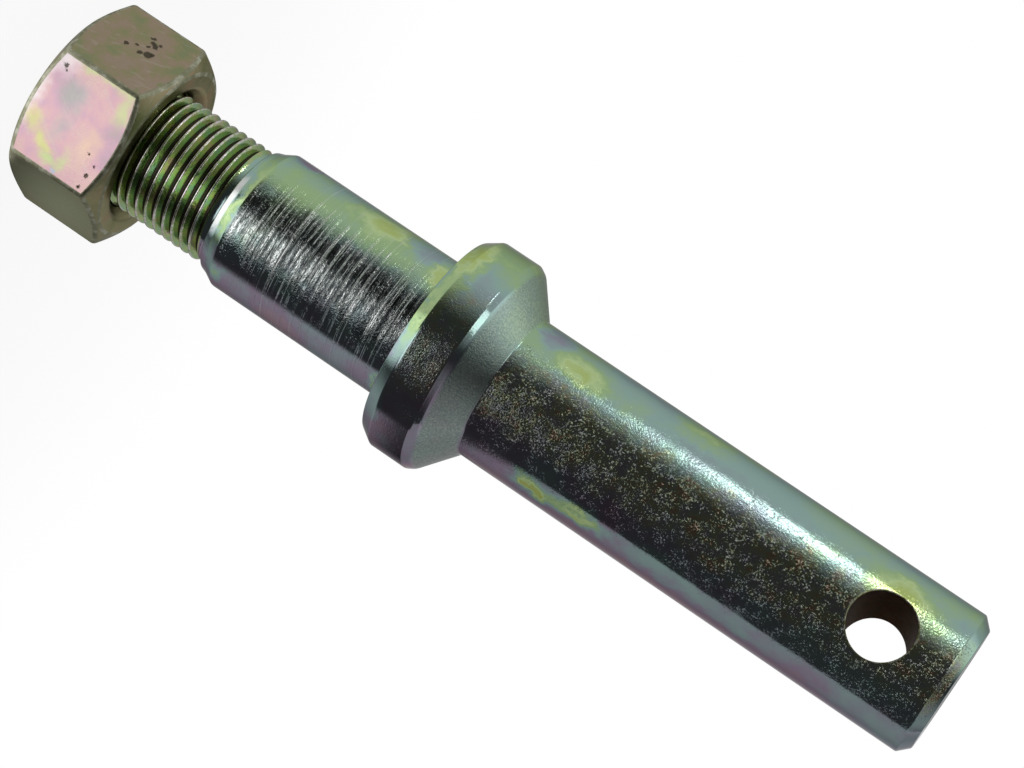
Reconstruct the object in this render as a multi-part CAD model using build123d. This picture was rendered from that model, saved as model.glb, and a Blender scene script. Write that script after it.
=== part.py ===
from build123d import *
from math import cos, radians, tan
import os

# Lower-link hitch pin: one turned steel pin with a collar, a threaded stud and its hexagon nut.
# The axis is Z. The origin is the centre of the nut's outer face, on which the part stands.
# Z runs from the nut, past the shoulder and the collar, to the pin's free end.
# Lengths are in mm and angles in degrees.

# Stud thread, metric, 24 mm with a 2 mm pitch, right hand. Shares are of the pitch
thread_crest_d = 23.9
thread_pitch = 2.0
thread_depth_share = 0.6
thread_crest_flat_share = 0.15
thread_flank_angle = 30.0
thread_length = 37.7
thread_runout = 1.0
thread_turn = 72.0
stud_end_chamfer = 1.4

# Neck between the thread and the shoulder; its relief is measured in from the thread's crest
neck_relief = 0.6
neck_length = 1.0

# Shoulder that seats in the bracket, with two lead-in bevels
shoulder_d = 28.0
shoulder_length = 38.0
first_bevel_length = 1.6
second_bevel_length = 2.0
second_bevel_depth = 1.1

# Collar: flat towards the nut, conical towards the pin
collar_d = 43.0
collar_face_bevel_depth = 1.7
collar_face_bevel_length = 2.6
collar_band_length = 7.2
collar_back_bevel_depth = 0.7
collar_back_bevel_length = 1.2
collar_cone_length = 5.6
collar_root_fillet = 0.8

# Pin that carries the link ball; its linchpin hole is placed from the free end
pin_d = 28.0
pin_length = 93.6
pin_end_chamfer = 2.0
linchpin_hole_d = 12.2
linchpin_hole_from_end = 15.2
linchpin_hole_bevel = 0.4

# Hexagon nut; the margin is the step in from a flat to the round face's edge
nut_across_flats = 36.0
nut_height = 20.5
nut_corner_radius = 1.0
nut_face_margin = 1.1
nut_chamfer_angle = 30.0
nut_countersink_width = 1.95
nut_countersink_depth = 2.0
nut_turn = 22.4

# Fits: the room around the thread's crest in the nut, and how far in from its face the stud ends
nut_clearance = 0.05
stud_recess = 0.5

# Radii and depths that follow
thread_depth = thread_depth_share * thread_pitch
crest_r = thread_crest_d / 2
root_r = crest_r - thread_depth
neck_r = crest_r - neck_relief
shoulder_r = shoulder_d / 2
collar_r = collar_d / 2
pin_r = pin_d / 2
nut_bore_r = crest_r + nut_clearance
nut_face_r = nut_across_flats / 2 - nut_face_margin

# Stations along the axis, from the nut to the free end
stud_end = stud_recess
thread_end = stud_end + thread_length
neck_end = thread_end + neck_length
first_bevel_end = neck_end + first_bevel_length
shoulder_start = first_bevel_end + second_bevel_length
collar_start = shoulder_start + shoulder_length
band_start = collar_start + collar_face_bevel_length
band_end = band_start + collar_band_length
cone_start = band_end + collar_back_bevel_length
pin_start = cone_start + collar_cone_length
pin_end = pin_start + pin_length
linchpin_hole_z = pin_end - linchpin_hole_from_end

# How far a cutting or trimming solid runs past what it cuts
overrun = 1.0
# How deep the thread's ridge is sunk into its core, so that the two join
ridge_sink = 0.05


def turned(outline):
    """A solid turned about the Z axis from (radius, z) points."""
    return revolve(Plane.XZ * make_face(Polyline(*outline, close=True)), Axis.Z)


def turned_body():
    """The pin in one piece, with the stud at the thread's root diameter."""
    body = turned([
        (0, stud_end),
        (root_r, stud_end),
        (root_r, thread_end),
        (neck_r, thread_end),
        (neck_r, neck_end),
        (shoulder_r - second_bevel_depth, first_bevel_end),
        (shoulder_r, shoulder_start),
        (shoulder_r, collar_start),
        (collar_r - collar_face_bevel_depth, collar_start),
        (collar_r, band_start),
        (collar_r, band_end),
        (collar_r - collar_back_bevel_depth, cone_start),
        (pin_r, pin_start),
        (pin_r, pin_end - pin_end_chamfer),
        (pin_r - pin_end_chamfer, pin_end),
        (0, pin_end),
    ])
    collar_face_rims = body.edges().filter_by(GeomType.CIRCLE).filter_by_position(
        Axis.Z, collar_start, collar_start)
    return fillet(collar_face_rims.sort_by(SortBy.RADIUS)[0], collar_root_fillet)


def thread_envelope():
    """The room for the thread's ridge, chamfered at the stud's end and fading into the neck."""
    fade = overrun * thread_runout / neck_relief
    return turned([
        (0, stud_end),
        (crest_r - stud_end_chamfer, stud_end),
        (crest_r + overrun, stud_end + stud_end_chamfer + overrun),
        (crest_r + overrun, thread_end - thread_runout - fade),
        (neck_r, thread_end),
        (0, thread_end),
    ])


def thread_ridge():
    """One right-hand helical ridge with sloping flanks and a flat crest."""
    half_crest = thread_crest_flat_share * thread_pitch / 2
    half_root = half_crest + (thread_depth + ridge_sink) * tan(radians(thread_flank_angle))
    section = Polygon(
        (-ridge_sink, -half_root),
        (thread_depth, -half_crest),
        (thread_depth, half_crest),
        (-ridge_sink, half_root),
        align=None,
    )
    start = Plane(origin=(root_r, 0, 0), x_dir=(1, 0, 0), z_dir=(0, -1, 0))
    path = Helix(pitch=thread_pitch, height=thread_length + 2 * thread_pitch, radius=root_r)
    ridge = sweep(start * section, path=path, is_frenet=True)
    placed = Pos(0, 0, stud_end - thread_pitch) * Rot(0, 0, thread_turn) * ridge
    return placed & thread_envelope()


def linchpin_drill():
    """The drill that goes through the pin near its free end, along X."""
    drill = Cylinder(linchpin_hole_d / 2, pin_d + 2 * overrun)
    return Pos(0, 0, linchpin_hole_z) * Rot(0, 90, 0) * drill


def hitch_pin():
    """The pin, its shoulder and collar and its threaded stud, all one piece of steel."""
    drilled = turned_body() - linchpin_drill()
    near_hole = drilled.edges().filter_by_position(
        Axis.Z, linchpin_hole_z - linchpin_hole_d, linchpin_hole_z + linchpin_hole_d)
    rims = near_hole.filter_by(lambda edge: edge.geom_type not in (GeomType.CIRCLE, GeomType.LINE))
    return chamfer(rims, linchpin_hole_bevel) + thread_ridge()


def chamfer_cones():
    """A double cone that takes the corners off both ends of the nut."""
    reach = nut_across_flats / 2 / cos(radians(30)) + overrun
    drop = (reach - nut_face_r) * tan(radians(nut_chamfer_angle))
    return turned([
        (0, 0),
        (nut_face_r, 0),
        (reach, drop),
        (reach, nut_height - drop),
        (nut_face_r, nut_height),
        (0, nut_height),
    ])


def nut_bore():
    """The bore that the stud fills, countersunk at both faces."""
    mouth_r = nut_bore_r + nut_countersink_width
    return turned([
        (0, 0),
        (mouth_r, 0),
        (nut_bore_r, nut_countersink_depth),
        (nut_bore_r, nut_height - nut_countersink_depth),
        (mouth_r, nut_height),
        (0, nut_height),
    ])


def hex_nut():
    """The nut, turned about the axis to where it stands on the stud."""
    hexagon = RegularPolygon(nut_across_flats / 2, 6, major_radius=False, rotation=30)
    blank = extrude(hexagon, nut_height)
    blank = fillet(blank.edges().filter_by(Axis.Z), nut_corner_radius)
    return Rot(0, 0, nut_turn) * ((blank & chamfer_cones()) - nut_bore())


os.makedirs("parts", exist_ok=True)
export_step(hitch_pin(), "parts/hitch_pin.step")
export_step(hex_nut(), "parts/hex_nut.step")
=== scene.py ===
from math import cos, pi, radians, sin, tan

import bpy
from mathutils import Matrix, Vector


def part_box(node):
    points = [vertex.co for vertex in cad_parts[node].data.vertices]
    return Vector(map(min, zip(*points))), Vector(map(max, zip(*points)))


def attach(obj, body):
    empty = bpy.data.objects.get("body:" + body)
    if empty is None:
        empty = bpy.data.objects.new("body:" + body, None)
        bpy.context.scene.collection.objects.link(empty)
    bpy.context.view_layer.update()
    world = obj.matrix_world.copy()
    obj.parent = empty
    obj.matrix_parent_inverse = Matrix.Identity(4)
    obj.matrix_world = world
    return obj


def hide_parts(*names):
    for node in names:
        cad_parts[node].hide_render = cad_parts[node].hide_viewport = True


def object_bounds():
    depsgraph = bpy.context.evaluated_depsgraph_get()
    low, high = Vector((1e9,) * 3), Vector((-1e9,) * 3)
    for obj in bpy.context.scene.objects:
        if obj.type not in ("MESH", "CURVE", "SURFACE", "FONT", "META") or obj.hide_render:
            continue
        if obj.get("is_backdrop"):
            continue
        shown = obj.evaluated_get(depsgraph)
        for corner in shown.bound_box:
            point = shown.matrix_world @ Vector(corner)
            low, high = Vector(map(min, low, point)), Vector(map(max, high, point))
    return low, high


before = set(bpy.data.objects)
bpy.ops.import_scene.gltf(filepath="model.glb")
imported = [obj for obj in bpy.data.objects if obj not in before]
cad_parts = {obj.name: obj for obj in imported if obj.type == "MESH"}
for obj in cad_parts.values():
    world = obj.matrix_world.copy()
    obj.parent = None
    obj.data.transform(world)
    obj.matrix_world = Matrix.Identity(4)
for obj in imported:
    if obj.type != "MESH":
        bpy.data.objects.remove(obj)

bl_info = {
    "name": "Hitch pin",
    "version": (1, 0, 0),
    "blender": (4, 5, 0),
    "location": "3D View > Sidebar > Hitch Pin",
    "description": "Models a plated lower-link hitch pin with its nut and sets up a studio for it",
    "category": "Object",
}

CAD_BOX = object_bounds()
MM = 0.001
PIN_NODE = "hitch_pin"
NUT_NODE = "hex_nut"
PIN_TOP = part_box(PIN_NODE)[1].z

# The side of the part that the camera sees: its angle round from +X in degrees, the same as a direction,
# and the direction of the side that lies upwards in the picture
CAMERA_SIDE = 10.5
TOWARDS_CAMERA = (0.983, 0.182, 0)
TOWARDS_UPPER_SIDE = (0.182, -0.983, 0)

# From one flat of the nut to the next
HEX_TURN = radians(60)


def length_field(name, description, default, lowest=0.0):
    """A length in metres, given here in millimetres."""
    return bpy.props.FloatProperty(
        name=name, description=description, default=default * MM, min=lowest * MM,
        precision=5, subtype="DISTANCE", unit="LENGTH")


def angle_field(name, description, default):
    """An angle in radians."""
    return bpy.props.FloatProperty(
        name=name, description=description, default=default, subtype="ANGLE", unit="ROTATION")


def level_field(name, description, default):
    """A brightness, where 1 is white."""
    return bpy.props.FloatProperty(name=name, description=description, default=default, min=0.0)


def colour_field(name, description, default):
    """A colour in linear light."""
    return bpy.props.FloatVectorProperty(
        name=name, description=description, default=default, size=3, min=0.0, max=1.0, subtype="COLOR")


class HitchPinSizes(bpy.types.PropertyGroup):
    """Sizes of the turned pin, from the stud's end to the free end."""

    stud_recess: length_field("Stud recess", "How far in from the nut's face the stud ends", 0.5)
    thread_crest_radius: length_field("Thread crest radius", "Half the stud's outer diameter", 11.95)
    thread_depth: length_field("Thread depth", "From the thread's crest down to its root", 1.2)
    thread_pitch: length_field("Thread pitch", "Advance of the thread in one turn", 2.0)
    thread_length: length_field("Thread length", "From the stud's end to the neck", 37.7)
    thread_runout: length_field("Thread runout", "Over which the thread fades into the neck", 1.0)
    thread_crest_flat: length_field("Thread crest flat", "Width of the thread's crest", 0.3)
    thread_crest_rounding: length_field("Thread crest rounding", "Rounding of the crest's edges", 0.08)
    thread_start: length_field("Thread start", "Where the crest lies along the stud, towards +X", -0.4, -2.0)
    flank_angle: angle_field("Flank angle", "Slope of the thread's flanks", radians(30))
    stud_chamfer: length_field("Stud chamfer", "Chamfer at the stud's end", 1.4)
    neck_radius: length_field("Neck radius", "Radius of the plain neck behind the thread", 11.35)
    neck_length: length_field("Neck length", "Length of the plain neck", 1.0)
    first_bevel_length: length_field("First lead-in", "Length of the first lead-in bevel", 1.6)
    land_rise: length_field("Land rise", "Length of the step up to the first lead-in's land", 0.3)
    land_radius: length_field("Land radius", "Radius where that land starts", 12.45)
    second_bevel_length: length_field("Second lead-in", "Length of the second lead-in bevel", 2.0)
    second_bevel_depth: length_field("Second lead-in depth", "How far the second bevel cuts in", 1.1)
    shoulder_radius: length_field("Shoulder radius", "Radius of the shoulder that fills the bracket", 14.0)
    shoulder_length: length_field("Shoulder length", "Length of the shoulder's plain wall", 38.0)
    collar_radius: length_field("Collar radius", "Radius of the collar's band", 21.5)
    collar_face_bevel: length_field("Collar face bevel", "Length of the bevel at the collar's flat face", 2.6)
    collar_face_depth: length_field("Collar face bevel depth", "How far that bevel cuts in", 1.7)
    collar_band: length_field("Collar band", "Length of the collar's widest band", 7.2)
    collar_back_bevel: length_field("Collar back bevel", "Length of the bevel behind the band", 1.2)
    collar_back_depth: length_field("Collar back bevel depth", "How far that bevel cuts in", 0.7)
    collar_root_radius: length_field("Collar root", "Fillet between the shoulder and the collar", 0.8)
    collar_cone: length_field("Collar cone", "Length of the cone down to the pin", 5.6)
    pin_radius: length_field("Pin radius", "Radius of the pin that carries the link ball", 14.0)
    pin_chamfer: length_field("Pin end chamfer", "Chamfer at the free end", 2.0)
    hole_radius: length_field("Linchpin hole radius", "Radius of the cross hole", 6.1)
    hole_from_end: length_field("Hole from end", "From the free end to the hole's axis", 15.2)
    rim_width: length_field("Rim width", "Width of the eased rim round the cross hole", 0.3)
    edge_radius: length_field("Edge radius", "Rounding of the turned edges", 0.22)
    facets: bpy.props.IntProperty(
        name="Facets", description="Facets round the turned surfaces", default=224, min=48, max=360)


class HexNutSizes(bpy.types.PropertyGroup):
    """Sizes of the hexagon nut."""

    across_flats: length_field("Across flats", "Spanner size", 36.0)
    height: length_field("Height", "Height of the nut", 20.5)
    corner_radius: length_field("Corner radius", "Rounding of the six corners", 1.0)
    face_margin: length_field("Face margin", "From a flat in to the round face's edge", 1.1)
    bore_radius: length_field("Bore radius", "Radius of the bore round the stud", 12.0)
    countersink: length_field("Countersink", "Width and depth of the countersink", 1.95)
    edge_radius: length_field("Edge radius", "Rounding of the nut's edges", 0.6)
    chamfer_angle: angle_field("Chamfer angle", "Slope of the chamfer at both faces", radians(30))
    turn: angle_field("Turn", "How far the nut is turned on the stud", radians(22.4))


class PlatingColours(bpy.types.PropertyGroup):
    """Colours of the film on the plating, of the places where it is worn or missing, and of painted shade and
    highlights.
    """

    rose: colour_field("Rose", "Film on the side that lies downwards in the picture", (0.50, 0.34, 0.39))
    violet: colour_field("Violet", "Film next to the rose", (0.40, 0.32, 0.43))
    blue: colour_field("Blue", "Film between violet and teal", (0.37, 0.45, 0.49))
    teal: colour_field("Teal", "Film on the side that lies upwards", (0.38, 0.56, 0.51))
    green: colour_field("Green", "Film in the greener patches", (0.43, 0.62, 0.32))
    lime: colour_field("Lime", "Film on the lead-in's land", (0.62, 0.80, 0.40))
    yellow: colour_field("Yellow", "Film in the yellow patches", (0.52, 0.64, 0.17))
    straw: colour_field("Straw", "Film at its thickest", (0.62, 0.52, 0.30))
    # Also the colour of painted glints on flecks and lines, and of the painted highlight on the lead-in's
    # land
    bare_zinc_and_highlights: colour_field("Bare zinc", "Flecks and turning lines without film", (0.88, 0.90, 0.88))
    thread_crest: colour_field("Thread crest", "Worn crests of the thread", (0.88, 0.80, 0.80))
    # Painted shade: near-black colour down in the thread's roots
    thread_root: colour_field("Thread root", "Roots of the thread", (0.06, 0.05, 0.035))
    nut_lemon: colour_field("Nut, lemon", "Streak on the front flat", (0.68, 0.72, 0.28))
    nut_lime: colour_field("Nut, lime", "Rim of the front flat", (0.56, 0.74, 0.30))
    nut_peach: colour_field("Nut, peach", "Ends of the lemon streak", (0.82, 0.62, 0.42))
    nut_haze: colour_field("Nut, haze", "Grey haze on the front flat", (0.46, 0.50, 0.46))
    nut_sky: colour_field("Nut, sky", "One small blue spot", (0.45, 0.58, 0.70))
    # Painted highlight: pale colour on the outer part of the front flat
    nut_pale_highlight: colour_field("Nut, pale", "Outer part of the front flat", (0.92, 0.88, 0.88))
    nut_green: colour_field("Nut, green", "Flat that faces down in the picture", (0.56, 0.61, 0.40))
    nut_scratch: colour_field("Nut, scratches", "Light scratches", (0.66, 0.64, 0.56))
    nut_pit: colour_field("Nut, pits", "Pits that the film never reached", (0.08, 0.07, 0.05))


class StudioSettings(bpy.types.PropertyGroup):
    """Camera, lamps and floor."""

    azimuth: angle_field("Camera azimuth", "Where the camera stands, round from +X", radians(CAMERA_SIDE))
    distance: length_field("Camera distance", "From the part's axis to the camera", 528.47)
    camera_height: length_field("Camera height", "From the floor to the camera", 198.03)
    tip: angle_field("Tip", "How far the camera looks down", -0.186952)
    swing: angle_field("Swing", "How far the camera looks past the axis", 0.0026075)
    roll: angle_field("Roll", "Small roll about the camera's own axis", 0.0028875)
    lie: angle_field("Lie", "Slope of the pin across the picture", radians(34.2))
    lens: bpy.props.FloatProperty(
        name="Lens", description="Focal length of the camera", default=107.24, subtype="DISTANCE_CAMERA")
    side_level: level_field("Sides", "Brightness of the room at the part's two sides", 0.5)
    dark_level: level_field("Room", "Brightness of the room in front of the part", 0.036)
    streak_level: level_field("Streak lamp", "Brightness of the small lamp that draws the white streak", 5.0)
    high_level: level_field("High lamp", "Brightness of the lamp that stands high to the left", 1.3)


# Fineness of round forms: facets round a tool or a hole, and steps across a rounded edge
THREAD_FACETS = 128
CHAMFER_FACETS = 120
BORE_FACETS = 144
HOLE_FACETS = 112
CREST_STEPS = 2
RIM_STEPS = 2
EDGE_STEPS = 3
CORNER_STEPS = 5

# How close two points are to merge after a spin and after a boolean, how short a dissolved sliver is,
# and how near a point is to a place that it is found by
SPIN_MERGE = 0.001 * MM
CUT_MERGE = 0.004 * MM
SLIVER_LENGTH = 0.002 * MM
NEAR = 0.01 * MM

# How far a tool runs past what it cuts, and the same for the nut's bore, whose rims have to stay in place
OVERRUN = MM
BORE_OVERRUN = 0.2 * MM

# How deep the thread's ridge is sunk into its core, how far its room is moved so that no faces coincide,
# and the turns it has beyond the stud at both ends
RIDGE_SINK = 0.05 * MM
RIDGE_SHIFT = 0.02 * MM
SPARE_TURNS = 3

# The plain stretch of outline round the linchpin hole, as a share of the hole's radius
HOLE_MARGIN = 1.5

# Edges that turn by more than this are eased, and shading is smooth up to these angles
EASED_FROM = radians(20)
PIN_SMOOTH = radians(32)
NUT_SMOOTH = radians(28)

# How closely a face of the nut has to look along a direction, as a cosine, to be level, one of the flats
# or the flat at the front, and how far a chamfer's may be off its slope
LEVEL, ON_FLAT, AT_FRONT = 0.99, 0.997, 0.9
CHAMFER_SPREAD = 0.02


# Modelling helpers


def start_piece(name):
    """One vertex at the origin, in edit mode, as a new object."""
    bpy.ops.object.select_all(action="DESELECT")
    bpy.ops.mesh.primitive_plane_add(size=MM, location=(0, 0, 0))
    piece = bpy.context.object
    piece.name = name
    piece.data.name = name
    bpy.ops.object.mode_set(mode="EDIT")
    bpy.ops.mesh.select_mode(type="VERT")
    bpy.ops.mesh.select_all(action="SELECT")
    bpy.ops.mesh.merge(type="CENTER")
    return piece


def draw_outline(points):
    """Moves the vertex to the first (radius, z) point and extrudes it through the others."""
    radius, height = points[0]
    bpy.ops.transform.translate(value=(radius, 0, height))
    for next_radius, next_height in points[1:]:
        step = (next_radius - radius, 0, next_height - height)
        bpy.ops.mesh.extrude_region_move(TRANSFORM_OT_translate={"value": step})
        radius, height = next_radius, next_height


def pick(piece, kind, test):
    """Selects, in edit mode, the vertices, edges or faces of a piece that pass a test, and counts them."""
    mode = {"vertices": "VERT", "edges": "EDGE", "polygons": "FACE"}[kind]
    bpy.ops.mesh.select_mode(type=mode)
    bpy.ops.mesh.select_all(action="DESELECT")
    bpy.ops.object.mode_set(mode="OBJECT")
    parts = getattr(piece.data, kind)
    chosen = [part.index for part in parts if test(part)]
    for index in chosen:
        parts[index].select = True
    bpy.ops.object.mode_set(mode="EDIT")
    return len(chosen)


def round_corners(piece, corners, radius, steps):
    """Rounds the corners of a drawn outline that are at these (radius, z) points."""
    pick(piece, "vertices", lambda v: any(
        abs(v.co.x - r) < NEAR and abs(v.co.z - z) < NEAR for r, z in corners))
    bpy.ops.mesh.bevel(offset=radius, segments=steps, affect="VERTICES")


def finish_edit():
    """Merges doubles, turns all faces outwards and leaves edit mode."""
    bpy.ops.mesh.select_all(action="SELECT")
    bpy.ops.mesh.remove_doubles(threshold=SPIN_MERGE)
    bpy.ops.mesh.normals_make_consistent(inside=False)
    bpy.ops.object.mode_set(mode="OBJECT")


def turned(name, points, facets, rounded=()):
    """A piece turned on a lathe: an outline spun round the Z axis, some of its corners rounded first."""
    piece = start_piece(name)
    draw_outline(points)
    for corners, radius, steps in rounded:
        round_corners(piece, corners, radius, steps)
    bpy.ops.mesh.select_all(action="SELECT")
    bpy.ops.mesh.spin(steps=facets, angle=2 * pi, center=(0, 0, 0), axis=(0, 0, 1))
    finish_edit()
    return piece


def work_on(piece):
    """Makes a piece the only selected object."""
    bpy.ops.object.select_all(action="DESELECT")
    bpy.context.view_layer.objects.active = piece
    piece.select_set(True)


def apply_modifier(piece, kind, **settings):
    """Adds a modifier with its settings and applies it."""
    work_on(piece)
    modifier = piece.modifiers.new(kind.title(), kind)
    for name, value in settings.items():
        setattr(modifier, name, value)
    bpy.ops.object.modifier_apply(modifier=modifier.name)


def cut(piece, tool, operation):
    """Applies a boolean between a piece and a tool, then removes the tool."""
    apply_modifier(piece, "BOOLEAN", operation=operation, object=tool, solver="EXACT")
    bpy.data.objects.remove(tool)


def heal(piece):
    """Merges the slivers that a boolean leaves, so that the surface is closed."""
    work_on(piece)
    bpy.ops.object.mode_set(mode="EDIT")
    bpy.ops.mesh.select_all(action="SELECT")
    bpy.ops.mesh.remove_doubles(threshold=CUT_MERGE)
    bpy.ops.mesh.dissolve_degenerate(threshold=SLIVER_LENGTH)
    bpy.ops.object.mode_set(mode="OBJECT")
    sides = {}
    for face in piece.data.polygons:
        for edge in face.edge_keys:
            sides[edge] = sides.get(edge, 0) + 1
    if any(count != 2 for count in sides.values()):
        raise RuntimeError(piece.name + " is not closed after its cuts")


def smooth(piece, angle):
    """Smooth shading up to an angle, with flat faces kept flat."""
    work_on(piece)
    bpy.ops.object.shade_smooth_by_angle(angle=angle)
    apply_modifier(piece, "WEIGHTED_NORMAL", keep_sharp=True)


def coat(piece, materials, choose):
    """Gives each face of a piece one of the materials."""
    piece.data.materials.clear()
    for material in materials:
        piece.data.materials.append(material)
    for face in piece.data.polygons:
        face.material_index = choose(face)


# The pin


def pin_outline(sizes):
    """(radius, z) points of the turned pin, the turned edges among them, and the collar's root."""
    thread_root = sizes.thread_crest_radius - sizes.thread_depth
    thread_end = sizes.stud_recess + sizes.thread_length
    neck_end = thread_end + sizes.neck_length
    land_end = neck_end + sizes.first_bevel_length
    shoulder_start = land_end + sizes.second_bevel_length
    collar_start = shoulder_start + sizes.shoulder_length
    band_start = collar_start + sizes.collar_face_bevel
    band_end = band_start + sizes.collar_band
    cone_start = band_end + sizes.collar_back_bevel
    pin_start = cone_start + sizes.collar_cone
    hole = PIN_TOP - sizes.hole_from_end
    hole_reach = sizes.hole_radius * HOLE_MARGIN
    stud = [
        (0, sizes.stud_recess),
        (thread_root, sizes.stud_recess),
        (thread_root, thread_end),
        (sizes.neck_radius, thread_end),
        (sizes.neck_radius, neck_end)]
    lead_in = [
        (sizes.land_radius, neck_end + sizes.land_rise),
        (sizes.shoulder_radius - sizes.second_bevel_depth, land_end),
        (sizes.shoulder_radius, shoulder_start)]
    collar_root = (sizes.shoulder_radius, collar_start)
    collar = [
        (sizes.collar_radius - sizes.collar_face_depth, collar_start),
        (sizes.collar_radius, band_start),
        (sizes.collar_radius, band_end),
        (sizes.collar_radius - sizes.collar_back_depth, cone_start),
        (sizes.pin_radius, pin_start)]
    beside_hole = [(sizes.pin_radius, hole - hole_reach), (sizes.pin_radius, hole + hole_reach)]
    free_end = [
        (sizes.pin_radius, PIN_TOP - sizes.pin_chamfer),
        (sizes.pin_radius - sizes.pin_chamfer, PIN_TOP)]
    points = [*stud, *lead_in, collar_root, *collar, *beside_hole, *free_end, (0, PIN_TOP)]
    return points, lead_in + collar + free_end, collar_root


def thread_room(sizes):
    """The room for the thread's ridge: chamfered at the stud's end, and fading into the neck."""
    start = sizes.stud_recess + RIDGE_SHIFT
    end = sizes.stud_recess + sizes.thread_length + RIDGE_SHIFT
    outside = sizes.thread_crest_radius + OVERRUN
    fading = OVERRUN * sizes.thread_runout / (sizes.thread_crest_radius - sizes.neck_radius)
    return turned("thread_room", [
        (0, start),
        (sizes.thread_crest_radius - sizes.stud_chamfer, start),
        (outside, start + sizes.stud_chamfer + OVERRUN),
        (outside, end - sizes.thread_runout - fading),
        (sizes.neck_radius, end),
        (0, end)], THREAD_FACETS)


def thread_ridge(sizes):
    """The helical ridge of the thread, trimmed to its room on the stud."""
    foot = sizes.thread_crest_radius - sizes.thread_depth - RIDGE_SINK
    half_crest = sizes.thread_crest_flat / 2
    half_foot = half_crest + (sizes.thread_depth + RIDGE_SINK) * tan(sizes.flank_angle)
    z = sizes.stud_recess - sizes.thread_pitch + sizes.thread_start
    crest = [(sizes.thread_crest_radius, z - half_crest), (sizes.thread_crest_radius, z + half_crest)]
    ridge = start_piece("thread_ridge")
    draw_outline([(foot, z - half_foot), *crest, (foot, z + half_foot)])
    round_corners(ridge, crest, sizes.thread_crest_rounding, CREST_STEPS)
    bpy.ops.mesh.select_all(action="SELECT")
    bpy.ops.mesh.edge_face_add()
    bpy.ops.mesh.delete(type="ONLY_FACE")
    bpy.ops.object.mode_set(mode="OBJECT")
    turns = int(sizes.thread_length / sizes.thread_pitch) + SPARE_TURNS
    apply_modifier(
        ridge, "SCREW", angle=2 * pi, screw_offset=sizes.thread_pitch, iterations=turns,
        steps=THREAD_FACETS, render_steps=THREAD_FACETS)
    bpy.ops.object.mode_set(mode="EDIT")
    bpy.ops.mesh.select_all(action="SELECT")
    section_corners = 4 + 2 * CREST_STEPS
    bpy.ops.mesh.fill_holes(sides=2 * section_corners)
    finish_edit()
    cut(ridge, thread_room(sizes), "INTERSECT")
    return ridge


def drill_hole(pin, sizes):
    """Drills the linchpin hole along X and eases both of its rims."""
    hole = PIN_TOP - sizes.hole_from_end
    bpy.ops.object.select_all(action="DESELECT")
    bpy.ops.mesh.primitive_cylinder_add(
        vertices=HOLE_FACETS, radius=sizes.hole_radius, depth=3 * sizes.pin_radius,
        location=(0, 0, hole), rotation=(0, pi / 2, 0))
    cut(pin, bpy.context.object, "DIFFERENCE")
    heal(pin)

    def near_rim(place):
        off_pin = abs(place.xy.length - sizes.pin_radius)
        off_hole = abs(Vector((place.y, place.z - hole)).length - sizes.hole_radius)
        return off_pin < 3 * NEAR and off_hole < NEAR

    bpy.ops.object.mode_set(mode="EDIT")
    found = pick(pin, "edges", lambda edge: all(near_rim(pin.data.vertices[i].co) for i in edge.vertices))
    if found < 2 * HOLE_FACETS:
        raise RuntimeError("the rims of the linchpin hole were not found")
    bpy.ops.mesh.bevel(offset=sizes.rim_width, segments=RIM_STEPS, affect="EDGES")
    bpy.ops.object.mode_set(mode="OBJECT")


def pin_finish(sizes):
    """A function that says which of the pin's four materials a face has."""
    outside, thread, wall, rim = range(4)
    thread_end = sizes.stud_recess + sizes.thread_length
    hole = PIN_TOP - sizes.hole_from_end
    skin_radius = sizes.pin_radius * 0.998
    rim_reach = sizes.rim_width * 1.2

    def choose(face):
        middle = face.center
        if middle.z < thread_end:
            return thread
        beside_wall = Vector((middle.y, middle.z - hole)).length - sizes.hole_radius
        if middle.xy.length > skin_radius or beside_wall > rim_reach:
            return outside
        return wall if beside_wall < 2 * NEAR else rim

    return choose


class HITCHPIN_OT_turn_pin(bpy.types.Operator):
    """Turns the pin on the lathe, cuts its thread and drills its linchpin hole"""

    bl_idname = "hitchpin.turn_pin"
    bl_label = "Turn the pin"
    bl_options = {"REGISTER", "UNDO"}

    def execute(self, context):
        sizes = context.scene.hitch_pin_sizes
        colours = context.scene.hitch_pin_colours
        points, edges, collar_root = pin_outline(sizes)
        pin = turned("pin_body", points, sizes.facets, [
            (edges, sizes.edge_radius, EDGE_STEPS),
            ([collar_root], sizes.collar_root_radius, CORNER_STEPS)])
        cut(pin, thread_ridge(sizes), "UNION")
        drill_hole(pin, sizes)
        smooth(pin, PIN_SMOOTH)
        coat(pin, [
            pin_plating("pin_plating", colours),
            thread_plating("thread_plating", colours),
            hole_plating("hole_plating"),
            rim_plating("rim_plating")], pin_finish(sizes))
        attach(pin, "pin")
        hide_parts(PIN_NODE)
        return {"FINISHED"}


# The nut


def hexagon_blank(sizes):
    """The nut's hexagon with its six corners rounded."""
    bpy.ops.object.select_all(action="DESELECT")
    bpy.ops.mesh.primitive_cylinder_add(
        vertices=6, radius=sizes.across_flats / 2 / cos(HEX_TURN / 2), depth=sizes.height,
        location=(0, 0, sizes.height / 2), rotation=(0, 0, sizes.turn))
    nut = bpy.context.object
    nut.name = "nut_body"
    nut.data.name = "nut_body"
    bpy.ops.object.transform_apply(location=True, rotation=True, scale=True)
    bpy.ops.object.mode_set(mode="EDIT")
    places = nut.data.vertices
    pick(nut, "edges", lambda e: abs(places[e.vertices[0]].co.z - places[e.vertices[1]].co.z) > MM)
    bpy.ops.mesh.bevel(
        offset=sizes.corner_radius * tan(HEX_TURN / 2), segments=CORNER_STEPS, affect="EDGES")
    finish_edit()
    return nut


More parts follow.
